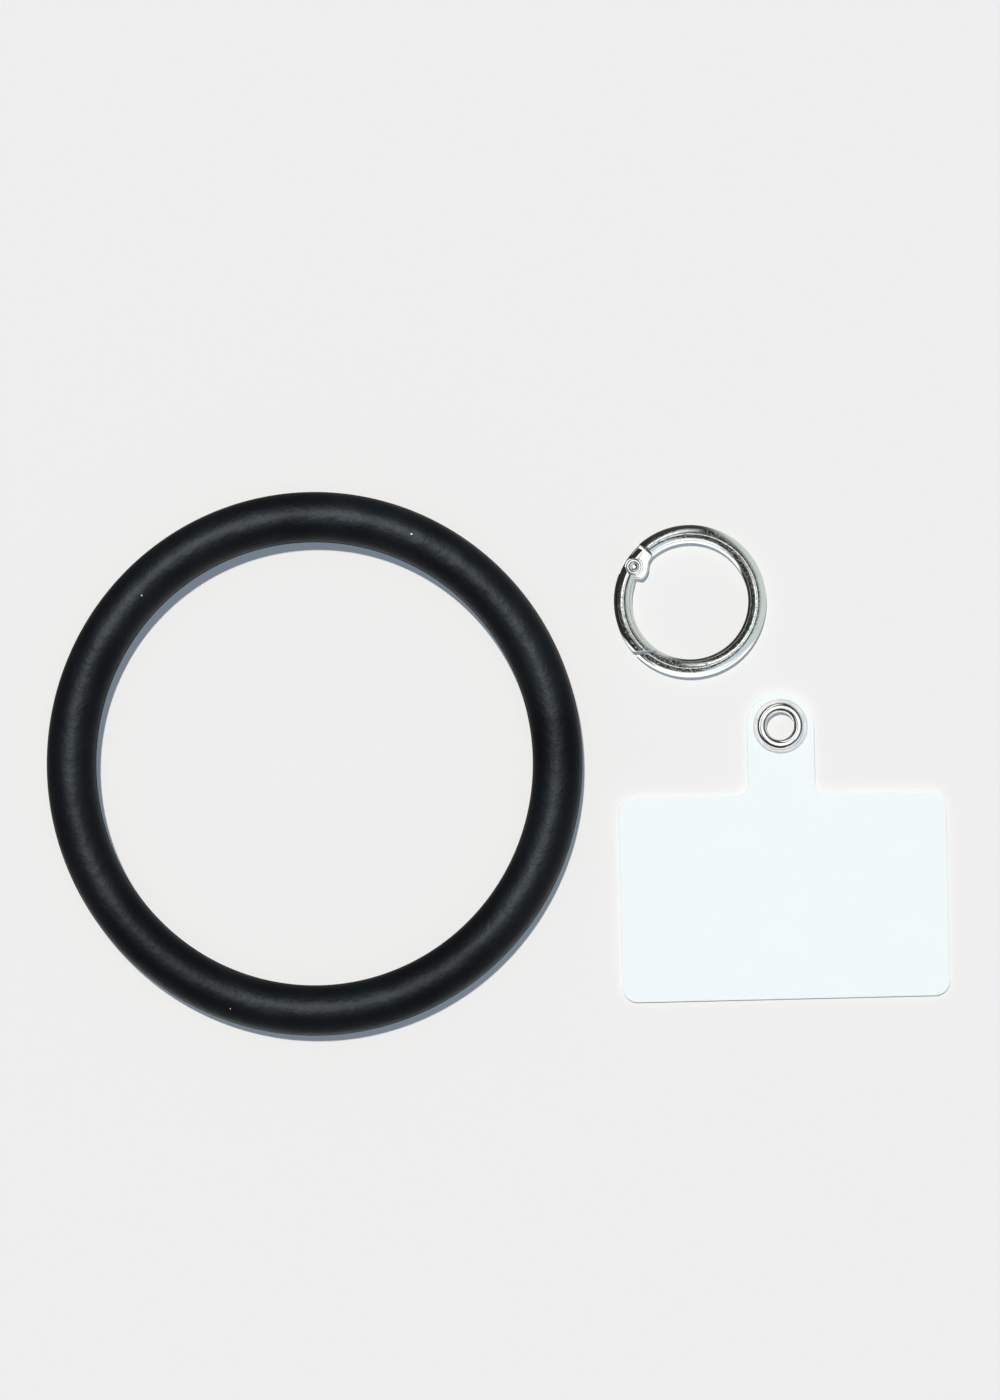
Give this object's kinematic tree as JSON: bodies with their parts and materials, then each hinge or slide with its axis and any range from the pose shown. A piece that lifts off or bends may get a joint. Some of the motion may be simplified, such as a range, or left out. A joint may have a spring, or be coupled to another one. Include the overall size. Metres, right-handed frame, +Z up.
{
  "type": "phone bracelet lanyard",
  "caption": "Silicone wrist bangle, spring gate clip ring and flat plastic phone case tab with a metal eyelet, laid out as a set.",
  "frame": {"origin": "centre of the bounding box, on the surface that the set lies on", "axes": "+X from the bangle towards the ring and the tab, +Y from the tab's sheet towards its neck, +Z up from the surface"},
  "size_m": [0.148, 0.089, 0.0079],
  "materials": {
    "silicone": "matte moulded silicone",
    "ring_plating": "bright nickel plating over a zinc casting",
    "rivet_plating": "nickel plated steel, peened",
    "spring_steel": "drawn spring wire",
    "tab_plastic": "milky translucent sheet, satin",
    "eyelet_plating": "bright nickel plated brass"
  },
  "bodies": {
    "lanyard": {"bangle": "silicone", "ring_body": "ring_plating", "hinge_pin": "rivet_plating", "tab": "tab_plastic", "eyelet": "eyelet_plating", "eyelet_washer": "eyelet_plating"},
    "gate_arm": {"gate": "ring_plating", "gate_spring": "spring_steel"}
  },
  "joints": [
    {"name": "gate_hinge", "type": "hinge", "parent": "lanyard", "child": "gate_arm", "pos_m": [0.02205, 0.03227, 0.00147], "axis": [0, 0, 1], "range_deg": [0, 35], "stiffness_Nm_per_rad": 0.006, "springref_deg": -28.65, "deforming": ["gate_spring"]}
  ]
}
